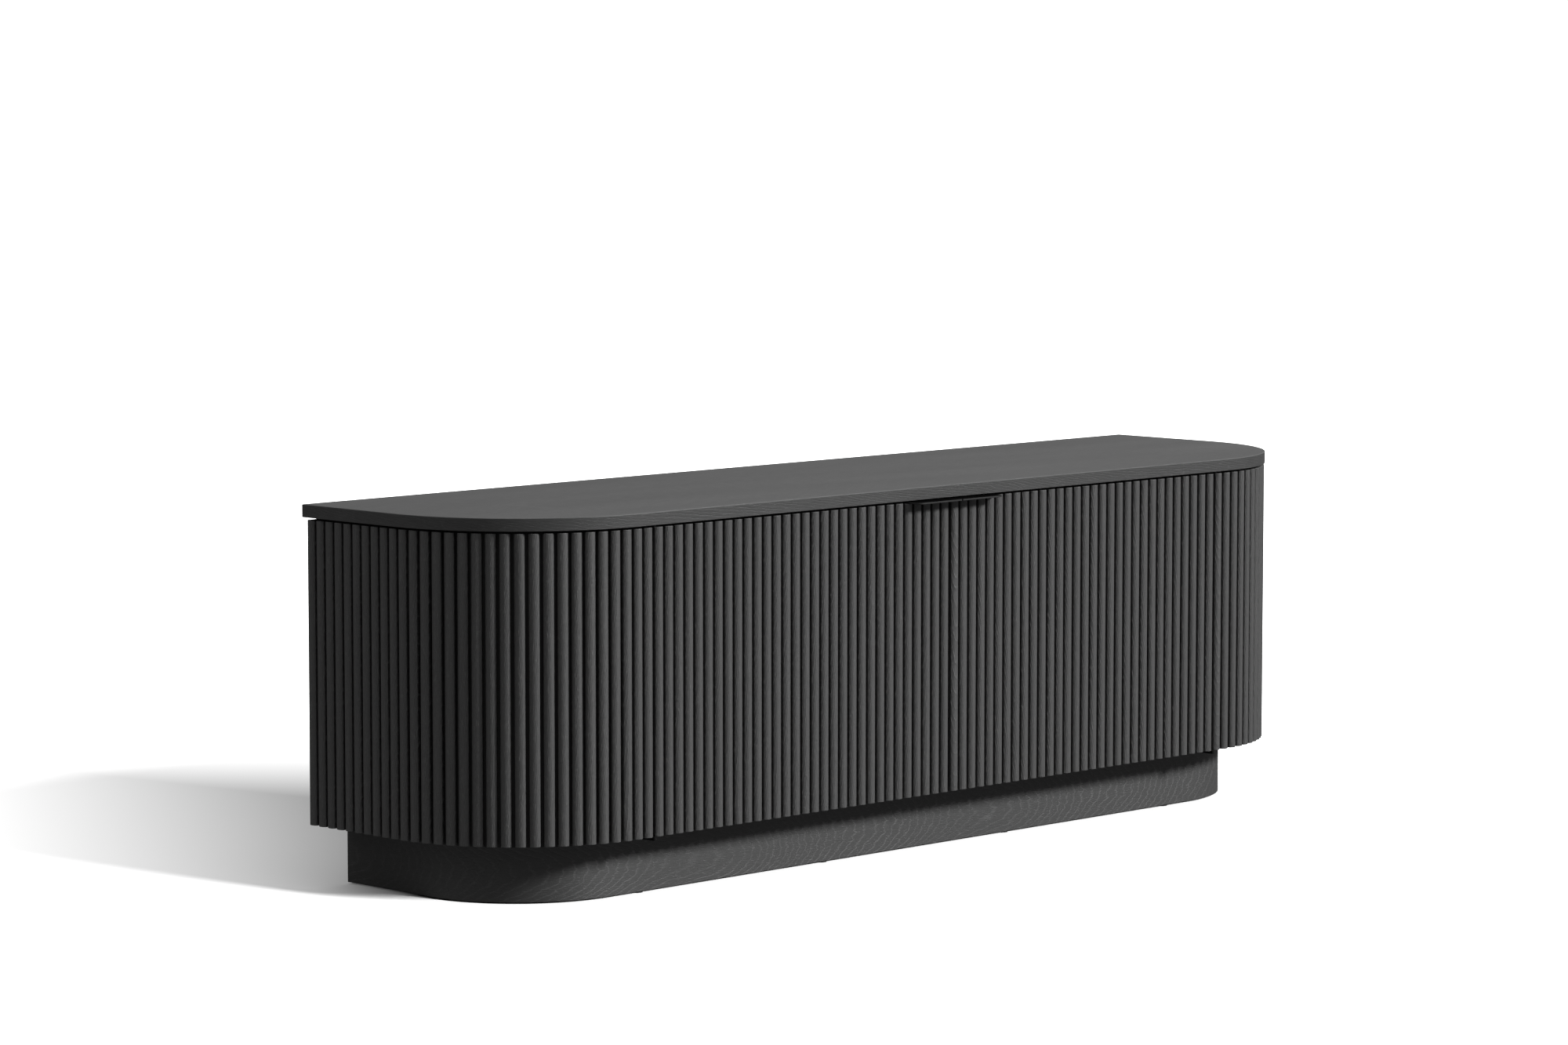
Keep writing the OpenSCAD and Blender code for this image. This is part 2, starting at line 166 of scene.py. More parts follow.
def edge_rings(low, high, low_round, high_round):
    """(height, inset, edge rubbing with painted highlight) of the rings of a plate whose lower and
    upper edges are rounded.

    One more ring beyond each round keeps the shading of the straight side flat.
    """
    lower, upper = [], []
    for step in range(ROUND_STEPS + 1):
        angle = math.pi / 2 * step / ROUND_STEPS
        in_plane, off_plane = 1 - math.sin(angle), 1 - math.cos(angle)
        # Greatest halfway round each rounded edge: edge rubbing, and a painted highlight along the
        # arris.
        worn_and_lit = math.sin(2 * angle)
        lower.append((low + low_round * off_plane, low_round * in_plane, worn_and_lit))
        upper.append((high - high_round * in_plane, high_round * off_plane, worn_and_lit))
    lower.append((low + SUPPORT_RING * low_round, 0.0, 0.0))
    upper.insert(0, (high - SUPPORT_RING * high_round, 0.0, 0.0))
    return lower + upper


def run_lengths(outline):
    """Distance along a closed outline to each of its points, and once round."""
    lengths = [0.0]
    for index in range(len(outline)):
        here, after = Vector(outline[index]), Vector(outline[(index + 1) % len(outline)])
        lengths.append(lengths[-1] + (after - here).length)
    return lengths


def loft_faces(count, levels):
    """Faces over closed rings of count points: the sides level by level, then both caps."""
    faces = []
    for level in range(levels - 1):
        for index in range(count):
            after = (index + 1) % count
            faces.append([level * count + index, level * count + after,
                          (level + 1) * count + after, (level + 1) * count + index])
    faces.append(list(reversed(range(count))))
    faces.append(list(range((levels - 1) * count, levels * count)))
    return faces


def rounded_plate(name, outline, rings):
    """A plate over a closed, anticlockwise outline.

    The fibres run along X on its flat faces and along the outline on its edge.
    """
    vertices, wear_and_highlight = [], []
    for height, inset, worn_and_lit in rings:
        for x, y in inset_outline(outline, inset):
            vertices.append((x, y, height))
            wear_and_highlight.append(worn_and_lit)
    count = len(outline)
    runs = run_lengths(outline)
    faces = loft_faces(count, len(rings))
    grain = []
    for number, side in enumerate(faces[:-2]):
        start, end = runs[number % count], runs[number % count + 1]
        grain.append([(vertices[c][2], 0.0, run) for c, run in zip(side, (start, end, end, start))])
    for cap in faces[-2:]:
        grain.append([(y, z, x) for x, y, z in (vertices[c] for c in cap)])
    return make_object(name, vertices, faces, grain, {"wear_and_highlight": wear_and_highlight})


# ---------------------------------------------------------------- pieces

def build_top():
    """The veneered top: square at the back, round at the front, with softened arrises."""
    radius = TOP_CORNER_RADIUS
    outline = arc((top_low.x + radius, top_low.y + radius), radius, 180, 270, CORNER_STEPS)
    outline += arc((top_high.x - radius, top_low.y + radius), radius, 270, 360, CORNER_STEPS)
    outline += [(top_high.x, top_high.y), (top_low.x, top_high.y)]
    rings = edge_rings(top_low.z, top_high.z, TOP_LOWER_ROUND, TOP_UPPER_ROUND)
    piece = rounded_plate("top", outline, rings)
    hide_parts("top_panel")
    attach(piece, "cabinet")
    return piece


def slat_profile(inset):
    """Straight flanks and a round nose, seen from above: (across, outwards) pairs."""
    half = SLAT_WIDTH / 2 - inset
    radius = SLAT_NOSE_RADIUS - inset
    reach = math.degrees(math.asin(half / radius))
    nose = arc((0, slat_depth - SLAT_NOSE_RADIUS), radius, 90 + reach, 90 - reach, NOSE_STEPS)
    return [(-half, 0.0)] + nose + [(half, 0.0)]


def slat_place(run):
    """Place on the backing and facing angle of a slat of the right-hand half."""
    if run <= straight_x:
        return (run, backing_y), 0.0
    turned = (run - straight_x) / backing_radius
    if turned <= math.pi / 2:
        x = straight_x + backing_radius * math.sin(turned)
        y = backing_y + backing_radius * (1 - math.cos(turned))
        return (x, y), turned
    return (backing_x, backing_y + backing_radius + run - straight_x - arc_length), math.pi / 2


def slat_top(run):
    """Height of a slat's upper end: the slats under a pull are lower by the pull's rebate."""
    return pull_low.z if run < pull_high.x else door_high.z


def wood_place(u, w, height, board):
    """Where in the wood a point of a slat was cut. Slats side by side never share a place."""
    return (u + CUT_STEP[0] * board, w + CUT_STEP[1] * (board % CUT_REPEAT),
            height + CUT_STEP[2] * board)


def build_slats(name, node, body, runs, side):
    """A row of slats in one piece. side is 1 on the right and -1 on the left."""
    vertices, faces, grain, wear_and_highlight, recess = [], [], [], [], []
    first_board = 0 if side > 0 else DOOR_SLATS + END_SLATS
    for board, run in enumerate(runs, first_board):
        (place_x, place_y), turned = slat_place(run)
        across = (math.cos(turned), math.sin(turned))
        outwards = (math.sin(turned), -math.cos(turned))
        rings = edge_rings(door_low.z, slat_top(run), SLAT_END_ROUND, SLAT_END_ROUND)
        start = len(vertices)
        cuts = []
        for height, inset, worn_and_lit in rings:
            for u, w in slat_profile(inset):
                x = place_x + u * across[0] + w * outwards[0]
                y = place_y + u * across[1] + w * outwards[1]
                vertices.append((side * x, y, height))
                wear_and_highlight.append(worn_and_lit)
                # How far back in its groove a point lies; the oak paints shade from it.
                recess.append(1 - w / slat_depth)
                cuts.append(wood_place(u, w, height, board))
        for face in loft_faces(len(slat_profile(0)), len(rings)):
            ordered = list(reversed(face)) if side > 0 else face
            faces.append([start + corner for corner in ordered])
            grain.append([cuts[corner] for corner in ordered])
    piece = make_object(name, vertices, faces, grain, {"wear_and_highlight": wear_and_highlight, "recess": recess})
    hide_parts(node)
    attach(piece, body)
    return piece


def build_all_slats():
    """The four rows of slats, in the order left end, left door, right door, right end."""
    door_runs = [first_slat_x + n * slat_pitch for n in range(DOOR_SLATS)]
    end_runs = [first_end_run + n * slat_pitch for n in range(END_SLATS)]
    return [
        build_slats("slats_left_end", "left_end_slats", "cabinet", end_runs, -1),
        build_slats("slats_left_door", "left_door_slats", "left_door", door_runs, -1),
        build_slats("slats_right_door", "right_door_slats", "right_door", door_runs, 1),
        build_slats("slats_right_end", "right_end_slats", "cabinet", end_runs, 1),
    ]


def plinth_path(inset):
    """The open line of the plinth, from the left back end round the front to the right."""
    radius = PLINTH_CORNER_RADIUS
    left, right = plinth_low.x, plinth_high.x
    line = [(left + inset, plinth_high.y)]
    line += arc((left + radius, plinth_low.y + radius), radius - inset, 180, 270, CORNER_STEPS)
    line += arc((right - radius, plinth_low.y + radius), radius - inset, 270, 360, CORNER_STEPS)
    line += [(right - inset, plinth_high.y)]
    return line


def plinth_section():
    """(inset, height) pairs round the plinth's board, with its two outer arrises softened."""
    low, high, soft = plinth_low.z, plinth_high.z, PLINTH_ROUND
    return [(soft, low), (0.0, low + soft), (0.0, high - soft), (soft, high),
            (PLINTH_THICKNESS, high), (PLINTH_THICKNESS, low)]


def build_plinth():
    """The bent plinth: one board on edge, swept along its path."""
    section = plinth_section()
    sides = len(section)
    lines = [plinth_path(inset) for inset, _ in section]
    stations = len(lines[0])
    runs = run_lengths(lines[1])
    middle = (plinth_low.z + plinth_high.z) / 2
    vertices = []
    for station in range(stations):
        for side in range(sides):
            vertices.append((*lines[side][station], section[side][1]))

    def wood_at(corner, run):
        """Where in the wood a corner of the sweep lies."""
        return (vertices[corner][2] - middle, section[corner % sides][0], run)

    faces, grain = [], []
    for station in range(stations - 1):
        start, end = runs[station], runs[station + 1]
        for side in range(sides):
            after = (side + 1) % sides
            corners = [station * sides + side, (station + 1) * sides + side,
                       (station + 1) * sides + after, station * sides + after]
            faces.append(corners)
            grain.append([wood_at(c, run) for c, run in zip(corners, (start, end, end, start))])
    last = (stations - 1) * sides
    for cap, run in ((list(range(sides)), runs[0]),
                     (list(reversed(range(last, last + sides))), runs[stations - 1])):
        faces.append(cap)
        grain.append([wood_at(corner, run) for corner in cap])
    piece = make_object("plinth_front", vertices, faces, grain, {})
    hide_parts("plinth_skirt")
    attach(piece, "cabinet")
    return piece


def build_pull(side):
    """A thin edge pull with one large round corner, away from the middle of the front."""
    word = "right" if side > 0 else "left"
    inner, outer = PULL_INNER_RADIUS, PULL_CORNER_RADIUS
    low, high = pull_low, pull_high
    outline = arc((low.x + inner, low.y + inner), inner, 180, 270, SMALL_CORNER_STEPS)
    outline += arc((high.x - outer, low.y + outer), outer, 270, 360, SMALL_CORNER_STEPS)
    outline += [(high.x, high.y), (low.x, high.y)]
    if side < 0:
        outline = [(-x, y) for x, y in reversed(outline)]
    rings = edge_rings(low.z, high.z, PULL_ROUND, PULL_ROUND)
    piece = rounded_plate(f"pull_{word}", outline, rings)
    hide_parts(f"{word}_pull")
    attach(piece, f"{word}_door")
    return piece


# ---------------------------------------------------------------- materials

class Nodes:
    """Short ways to add and join shader nodes."""

    def __init__(self, name):
        self.material = bpy.data.materials.new(name)
        self.material.use_nodes = True
        self.tree = self.material.node_tree
        self.shader = next(n for n in self.tree.nodes if n.type == "BSDF_PRINCIPLED")

    def put(self, target, value):
        """Joins an output to a socket, or sets the socket's own value."""
        if isinstance(value, bpy.types.NodeSocket):
            self.tree.links.new(value, target)
        else:
            target.default_value = value

    def attribute(self, name, output):
        """A named attribute of the mesh."""
        node = self.tree.nodes.new("ShaderNodeAttribute")
        node.attribute_name = name
        return node.outputs[output]

    def level(self):
        """0 on upright faces and 1 on level ones."""
        normal = self.tree.nodes.new("ShaderNodeNewGeometry").outputs["Normal"]
        return self.math("ABSOLUTE", self.split(normal)[2])

    def object_place(self):
        """Place on the object, in metres."""
        return self.tree.nodes.new("ShaderNodeTexCoord").outputs["Object"]

    def noise(self, vector, scale, detail, roughness=0.5, distortion=0.0):
        """Soft noise, with scale waves to the metre."""
        node = self.tree.nodes.new("ShaderNodeTexNoise")
        self.put(node.inputs["Vector"], vector)
        node.inputs["Scale"].default_value = scale
        node.inputs["Detail"].default_value = detail
        node.inputs["Roughness"].default_value = roughness
        node.inputs["Distortion"].default_value = distortion
        return node.outputs["Fac"]

    def long_noise(self, vector, scales, detail):
        """Soft noise drawn out along some axes, with its own scale on each."""
        node = self.tree.nodes.new("ShaderNodeMapping")
        node.inputs["Scale"].default_value = scales
        self.put(node.inputs["Vector"], vector)
        return self.noise(node.outputs[0], 1.0, detail)

    def math(self, operation, *values, clamp=False):
        """The result of one Math node."""
        node = self.tree.nodes.new("ShaderNodeMath")
        node.operation = operation
        node.use_clamp = clamp
        for socket, value in zip(node.inputs, values):
            self.put(socket, value)
        return node.outputs[0]

    def vary(self, base, value, amount):
        """base, and amount times value on top of it."""
        return self.math("ADD", base, self.math("MULTIPLY", value, amount))

    def length(self, a, b):
        """Length of the diagonal of two sides."""
        squares = self.math("ADD", self.math("MULTIPLY", a, a), self.math("MULTIPLY", b, b))
        return self.math("SQRT", squares)

    def ramp(self, value, low, high, low_out=0.0, high_out=1.0):
        """Smooth change from low_out to high_out while value goes from low to high."""
        node = self.tree.nodes.new("ShaderNodeMapRange")
        node.interpolation_type = "SMOOTHSTEP"
        self.put(node.inputs["Value"], value)
        for socket, number in zip(("From Min", "From Max", "To Min", "To Max"),
                                  (low, high, low_out, high_out)):
            node.inputs[socket].default_value = number
        return node.outputs[0]

    def split(self, vector):
        """The three outputs of a vector's X, Y and Z."""
        node = self.tree.nodes.new("ShaderNodeSeparateXYZ")
        self.put(node.inputs[0], vector)
        return node.outputs

    def grey(self, value):
        """A colour with the same value in red, green and blue."""
        node = self.tree.nodes.new("ShaderNodeCombineColor")
        for socket in node.inputs:
            self.put(socket, value)
        return node.outputs[0]

    def bump(self, height, distance):
        """Fine relief, distance metres deep where height goes from 0 to 1."""
        node = self.tree.nodes.new("ShaderNodeBump")
        node.inputs["Distance"].default_value = distance
        self.put(node.inputs["Height"], height)
        self.tree.links.new(node.outputs[0], self.shader.inputs["Normal"])

    def finish(self, **sockets):
        """Fills the shader's sockets and hands over the material."""
        for name, value in sockets.items():
            self.put(self.shader.inputs[name.replace("_", " ")], value)
        return self.material


# Noise scales of the wood: twice across the fibres, then along them.
SLOW_BEND_SCALES = (5, 5, 2.2)
QUICK_BEND_SCALES = (110, 110, 30)
PATCH_SCALES = (14, 14, 2.5)
FIBRE_SCALES = (900, 900, 40)
PORE_SCALES = (1300, 1300, 110)

# Growth rings: how far they bend, in metres and in rings, and lean for each metre of trunk.
RING_BEND = 0.05
RING_TREMOR = 1.3
TRUNK_TAPER = 0.12
# The open-pored early wood is full at one share of the ring and gone at the other.
EARLY_FULL = 0.12
EARLY_END = 0.34

# Limits are (none below, all above). A least is what stays where there is none.
NOISE_MEAN = 0.5
LEVEL_LIMITS = (0.3, 0.9)
PATCH_LIMITS = (0.38, 0.6)
PATCH_LEAST = 0.4
EARLY_PORE_LIMITS = (0.3, 0.6)
EARLY_PORE_LEAST = 0.25
LOOSE_PORE_LIMITS = (0.58, 0.72)

FIBRE_CONTRAST = 0.7
PATCH_CONTRAST = 0.3
# How much lighter the rounded arrises are drawn: partly rubbing, partly a painted highlight.
WEAR_AND_HIGHLIGHT_GAIN = 0.45
FIBRE_RELIEF = 0.5
LOOSE_PORE_RELIEF = 0.6
LACQUER_ROUGHNESS = 0.56
LEVEL_ROUGHNESS = 0.85
PORE_ROUGHNESS = 0.1

# Painted shade in the grooves between slats: recess is 0 at a slat's nose and 1 at its root, and the
# albedo darkens towards the root.
SHOULDER_LIMITS = (0.0, 0.36)
PAINTED_SHOULDER_SHADE = 0.76
ROOT_LIMITS = (0.3, 0.9)
PAINTED_ROOT_SHADE = 0.05


def early_wood(n, place, ring_size, pith):
    """1 on the open-pored part of each growth ring and 0 on the rest."""
    slow_bend = n.long_noise(place, SLOW_BEND_SCALES, 1.0)
    tremor = n.long_noise(place, QUICK_BEND_SCALES, 3.0)
    x, y, z = n.split(place)
    bend = n.math("MULTIPLY", slow_bend, RING_BEND)
    bend = n.vary(bend, tremor, RING_TREMOR * ring_size)
    bend = n.vary(bend, z, TRUNK_TAPER)
    radius = n.length(x, n.math("ADD", y, pith))
    ring = n.math("FRACT", n.math("DIVIDE", n.math("ADD", radius, bend), ring_size))
    return n.math("MULTIPLY", n.ramp(ring, 0.0, EARLY_FULL), n.ramp(ring, EARLY_END, EARLY_FULL))


def painted_groove_shade(n):
    """Painted shade: 1 on open faces, falling towards the root of the grooves between the slats."""
    recess = n.attribute("recess", "Fac")
    shoulder = n.ramp(recess, *SHOULDER_LIMITS, 1.0, PAINTED_SHOULDER_SHADE)
    root = n.ramp(recess, *ROOT_LIMITS, 1.0, PAINTED_ROOT_SHADE)
    return n.math("MULTIPLY", shoulder, root)


def oak(name, shade, rim_shade, shine, figure, flat_figure, pores, ring_size, pith, relief):
    """Black-stained open-pored oak under satin lacquer. The grain attribute's Z is along the fibres.

    shade and rim_shade are the mean albedo of level and upright faces; where shade is the lighter,
    the level faces carry painted sheen. shine is the strength of the lacquer's soft reflection,
    which is duller on level faces.
    figure is how much lighter the ring lines are on upright faces, flat_figure the share of it
    on level ones, and pores how much lighter the loose pores are.
    ring_size is the width of a growth ring, and pith the distance from the tree's middle.
    """
    n = Nodes(name)
    place = n.attribute("grain", "Vector")
    level = n.level()
    patch = n.long_noise(place, PATCH_SCALES, 2.0)
    fibre = n.long_noise(place, FIBRE_SCALES, 2.0)
    pore = n.long_noise(place, PORE_SCALES, 1.0)

    early = early_wood(n, place, ring_size, pith)
    early = n.math("MULTIPLY", early, n.ramp(level, *LEVEL_LIMITS, 1.0, flat_figure))
    early = n.math("MULTIPLY", early, n.ramp(patch, *PATCH_LIMITS, PATCH_LEAST, 1.0))
    early_pore = n.ramp(pore, *EARLY_PORE_LIMITS, EARLY_PORE_LEAST, 1.0)
    early_pore = n.math("MULTIPLY", early_pore, early)
    loose_pore = n.ramp(pore, *LOOSE_PORE_LIMITS)

    light = n.vary(1.0, early_pore, figure)
    light = n.vary(light, loose_pore, pores)
    light = n.vary(light, n.math("SUBTRACT", fibre, NOISE_MEAN), FIBRE_CONTRAST)
    light = n.vary(light, n.math("SUBTRACT", patch, NOISE_MEAN), PATCH_CONTRAST)
    light = n.vary(light, n.attribute("wear_and_highlight", "Fac"), WEAR_AND_HIGHLIGHT_GAIN)
    # The grooves between the slats are darkened here with painted shade.
    light = n.math("MULTIPLY", light, painted_groove_shade(n))
    # Level faces drawn lighter than upright ones here are painted sheen.
    stain_and_painted_sheen = n.ramp(level, *LEVEL_LIMITS, rim_shade, shade)
    albedo = n.math("MULTIPLY", light, stain_and_painted_sheen, clamp=True)

    hollow = n.vary(early_pore, loose_pore, LOOSE_PORE_RELIEF)
    n.bump(n.math("SUBTRACT", n.math("MULTIPLY", fibre, FIBRE_RELIEF), hollow), relief)
    lacquer = n.ramp(level, *LEVEL_LIMITS, LACQUER_ROUGHNESS, LEVEL_ROUGHNESS)
    return n.finish(Base_Color=n.grey(albedo), Roughness=n.vary(lacquer, early_pore, PORE_ROUGHNESS),
                    Specular_IOR_Level=shine)


# Below, a pair such as BOARD_LIGHT holds the least value and what the noise may add to it.

BOARD_STREAK_SCALES = (5, 160, 160)
BOARD_PEBBLE_SCALE = 1100.0
BOARD_LIGHT = (0.85, 0.3)
BOARD_RELIEF = 0.08 * MM
BOARD_STREAK_RELIEF = 0.4
BOARD_PEBBLE_RELIEF = 0.6
BOARD_PEBBLE_ROUGHNESS = 0.12
BOARD_SHINE = 0.25


def board(name, shade, roughness):
    """Black melamine-faced board with a faint printed grain along X and a fine pebble."""
    n = Nodes(name)
    place = n.object_place()
    streak = n.long_noise(place, BOARD_STREAK_SCALES, 3.0)
    pebble = n.noise(place, BOARD_PEBBLE_SCALE, 1.0)
    least, gain = BOARD_LIGHT
    light = n.vary(least, streak, gain)
    height = n.vary(n.math("MULTIPLY", streak, BOARD_STREAK_RELIEF), pebble, BOARD_PEBBLE_RELIEF)
    n.bump(height, BOARD_RELIEF)
    return n.finish(Base_Color=n.grey(n.math("MULTIPLY", light, shade)),
                    Roughness=n.vary(roughness, pebble, BOARD_PEBBLE_ROUGHNESS),
                    Specular_IOR_Level=BOARD_SHINE)


FIBREBOARD_FIBRE_SCALE = 420.0
FIBREBOARD_CLOUD_SCALE = 7.0
FIBREBOARD_LIGHT = 0.7
FIBREBOARD_FIBRE_LIGHT = 0.4
FIBREBOARD_CLOUD_LIGHT = 0.2
FIBREBOARD_ROUGHNESS = (0.5, 0.2)
FIBREBOARD_RELIEF = 0.15 * MM


def fibreboard(name, shade):
    """Thin lacquered fibreboard with short random fibres."""
    n = Nodes(name)
    place = n.object_place()
    fibre = n.noise(place, FIBREBOARD_FIBRE_SCALE, 4.0, roughness=0.7, distortion=1.2)
    cloud = n.noise(place, FIBREBOARD_CLOUD_SCALE, 2.0)
    light = n.vary(FIBREBOARD_LIGHT, fibre, FIBREBOARD_FIBRE_LIGHT)
    light = n.vary(light, cloud, FIBREBOARD_CLOUD_LIGHT)
    n.bump(fibre, FIBREBOARD_RELIEF)
    least, gain = FIBREBOARD_ROUGHNESS
    return n.finish(Base_Color=n.grey(n.math("MULTIPLY", light, shade)),
                    Roughness=n.vary(least, fibre, gain))


COAT_PEEL_SCALE = 1400.0
COAT_CLOUD_SCALE = 60.0
COAT_LIGHT = (0.85, 0.3)
COAT_RELIEF = 0.03 * MM
COAT_PEEL_ROUGHNESS = 0.1
COAT_LEVEL_LIMITS = (0.4, 0.9)


def powder_coat(name, rim_shade, face_shade, roughness, shine):
    """Black powder coat with a fine orange peel; upright rims take rim_shade and level faces
    face_shade, so a lighter rim is a painted highlight and a darker face is painted shade.
    """
    n = Nodes(name)
    place = n.object_place()
    peel = n.noise(place, COAT_PEEL_SCALE, 1.0)
    cloud = n.noise(place, COAT_CLOUD_SCALE, 2.0)
    n.bump(peel, COAT_RELIEF)
    least, gain = COAT_LIGHT
    light = n.vary(least, cloud, gain)
    # Rims lighter than level faces here are a painted highlight, the darker faces painted shade.
    shade = n.ramp(n.level(), *COAT_LEVEL_LIMITS, rim_shade, face_shade)
    return n.finish(Base_Color=n.grey(n.math("MULTIPLY", light, shade)),
                    Roughness=n.vary(roughness, peel, COAT_PEEL_ROUGHNESS),
                    Specular_IOR_Level=shine)


ZINC_MARK_SCALES = (90, 2600, 2600)
ZINC_CLOUD_SCALE = 220.0
ZINC_LIGHT = (0.3, 0.25)
ZINC_ROUGHNESS = (0.26, 0.2)
ZINC_RELIEF = 0.02 * MM


def zinc(name):
    """Zinc-plated steel with fine rolling marks and a cloudy passivation."""
    n = Nodes(name)
    place = n.object_place()
    mark = n.long_noise(place, ZINC_MARK_SCALES, 2.0)
    cloud = n.noise(place, ZINC_CLOUD_SCALE, 3.0)
    n.bump(mark, ZINC_RELIEF)
    least_light, light_gain = ZINC_LIGHT
    least_rough, rough_gain = ZINC_ROUGHNESS
    return n.finish(Base_Color=n.grey(n.vary(least_light, cloud, light_gain)), Metallic=1.0,
                    Roughness=n.vary(least_rough, mark, rough_gain))


MOULD_SPARK_SCALE = 1800.0
MOULD_CLOUD_SCALE = 90.0
MOULD_LIGHT = (0.8, 0.4)
MOULD_RELIEF = 0.06 * MM
MOULD_SPARK_ROUGHNESS = 0.15


def moulded(name, shade, roughness):
    """Moulded plastic or rubber with a fine spark-eroded texture."""
    n = Nodes(name)
    place = n.object_place()
    spark = n.noise(place, MOULD_SPARK_SCALE, 1.0)
    cloud = n.noise(place, MOULD_CLOUD_SCALE, 2.0)
    n.bump(spark, MOULD_RELIEF)
    least, gain = MOULD_LIGHT
    light = n.vary(least, cloud, gain)
    return n.finish(Base_Color=n.grey(n.math("MULTIPLY", light, shade)),
                    Roughness=n.vary(roughness, spark, MOULD_SPARK_ROUGHNESS))


def dress(piece, material):
    """Gives a piece, or a carried-over CAD node, one material all over."""
    piece.data.materials.clear()
    piece.data.materials.append(material)


def dress_all(top, slats, plinth, pulls):
    """Makes one material for each slot of the record and gives every piece and node its own."""
    slots = {
        # The top's level face is drawn almost twice as light as its rim: painted sheen for its
        # lacquer.
        "oak_top": oak("black_oak_top", shade=0.0745, rim_shade=0.042, shine=0.5, figure=0.55,
                       flat_figure=0.15, pores=0.2, ring_size=0.0035, pith=0.11, relief=0.0002),
        "oak_slats": oak("black_oak_slats", shade=0.041, rim_shade=0.041, shine=1.0, figure=0.8,
                         flat_figure=1.0, pores=0.9, ring_size=0.0025, pith=0.06, relief=0.0004),
        "oak_plinth": oak("black_oak_plinth", shade=0.038, rim_shade=0.038, shine=0.8, figure=1.0,
                          flat_figure=1.0, pores=0.2, ring_size=0.0023, pith=0.12, relief=0.0002),
        "carcass_board": board("black_melamine", shade=0.022, roughness=0.6),
        "back_board": fibreboard("black_fibreboard", shade=0.055),
        # The pull's level faces are drawn nearly black, painted shade, and its rims lighter, a
        # painted highlight.
        "pull_metal": powder_coat("black_powder_coat", rim_shade=0.045, face_shade=0.003,
                                  roughness=0.5, shine=0.0),
        "hinge_metal": powder_coat("black_hinge_coat", rim_shade=0.008, face_shade=0.008,
                                   roughness=0.7, shine=0.1),
        "hardware_steel": zinc("zinc_steel"),
        "catch_plastic": moulded("black_plastic", shade=0.03, roughness=0.42),
        "pad_rubber": moulded("black_rubber", shade=0.02, roughness=0.65),
    }
    dress(top, slots["oak_top"])
    for row in slats:
        dress(row, slots["oak_slats"])
    dress(plinth, slots["oak_plinth"])
    for pull in pulls:
        dress(pull, slots["pull_metal"])
    rebuilt = ("oak_top", "oak_slats", "oak_plinth", "pull_metal")
    for part in frame["record"]["subparts"]:
        if part["material_slot"] not in rebuilt:
            dress(frame["nodes"][part["node"]], slots[part["material_slot"]])


# ---------------------------------------------------------------- studio

FLOOR_HALF = 30.0
# Albedo of the floor as the camera sees it, and as the light that reaches the object sees it.
FLOOR_SEEN = 0.52
FLOOR_BOUNCE = 0.075
FLOOR_GRAIN = 0.01
FLOOR_GRAIN_SCALE = 3.0
# The floor's painted glow, which fades its shadow out, grows (direction, where it starts, gain for
# each metre) to the left and to the back.
FADES = ((Vector((-0.83, 0.555)), 0.642, 1.36),
         (Vector((0.707, 0.707)), 0.32, 1.7))
# The painted glow also grows with the distance from the object, and never passes the cap below.
FAR_START = 1.2
FAR_GAIN = 0.8
PAINTED_GLOW_MOST = 1.2

# Brightness of the sky at the horizon, what it gains up to straight overhead, and as it is seen.
SKY_LOW = 0.06
SKY_GAIN = 1.15
SKY_SEEN = 1.2

KEY_FROM = Vector((0.70, -1.0, 0.62))
KEY_STRENGTH = 3.5
KEY_ANGLE = 9.5
FLOOR_KEY_FROM = Vector((0.194, -1.0, 0.42))
FLOOR_KEY_STRENGTH = 14.6

CAMERA_PLACE = (-5.0202, -4.8470, 1.1114)
CAMERA_YAW = 45.259
CAMERA_PITCH = 5.533
CAMERA_LENS = 117.37
CAMERA_SENSOR = 36.0
CAMERA_REACH = 100


def distance_outside(n, x, y, low, high):
    """Level distance from a box, 0 inside it."""
    beyond = []
    for place, start, end in ((x, low.x, high.x), (y, low.y, high.y)):
        from_middle = n.math("ABSOLUTE", n.math("SUBTRACT", place, (start + end) / 2))
        beyond.append(n.math("MAXIMUM", n.math("SUBTRACT", from_middle, (end - start) / 2), 0.0))
    return n.length(*beyond)


def floor_painted_glow(n, x, y):
    """The painted glow at a place on the floor: how much lighter than its shaded self it is drawn
    there.
    """
    distance = distance_outside(n, x, y, *(Vector(corner) for corner in cad_box))
    beyond = n.math("MAXIMUM", n.math("SUBTRACT", distance, FAR_START), 0.0)
    painted_glow = n.math("MULTIPLY", beyond, FAR_GAIN)
    for toward, start, gain in FADES:
        along = n.vary(n.math("MULTIPLY", x, toward.x), y, toward.y)
        painted_glow = n.math("MAXIMUM", painted_glow, n.math("MULTIPLY", n.math("SUBTRACT", along, start), gain))
    return n.math("MINIMUM", painted_glow, PAINTED_GLOW_MOST)


def floor_paper():
    """White paper that the camera sees lighter than the object does, with a painted glow that fades
    its shadow out.
    """
    n = Nodes("floor_paper")
    place = n.object_place()
    x, y, _ = n.split(place)
    seen = n.tree.nodes.new("ShaderNodeLightPath").outputs["Is Camera Ray"]
    white = n.vary(FLOOR_BOUNCE, seen, FLOOR_SEEN - FLOOR_BOUNCE)
    fine = n.vary(1 - FLOOR_GRAIN / 2, n.noise(place, FLOOR_GRAIN_SCALE, 2.0), FLOOR_GRAIN)
    glow = n.math("MULTIPLY", floor_painted_glow(n, x, y), seen)
    return n.finish(Base_Color=n.grey(n.math("MULTIPLY", white, fine)), Roughness=1.0,
                    Specular_IOR_Level=0.0, Emission_Color=(1, 1, 1, 1), Emission_Strength=glow)


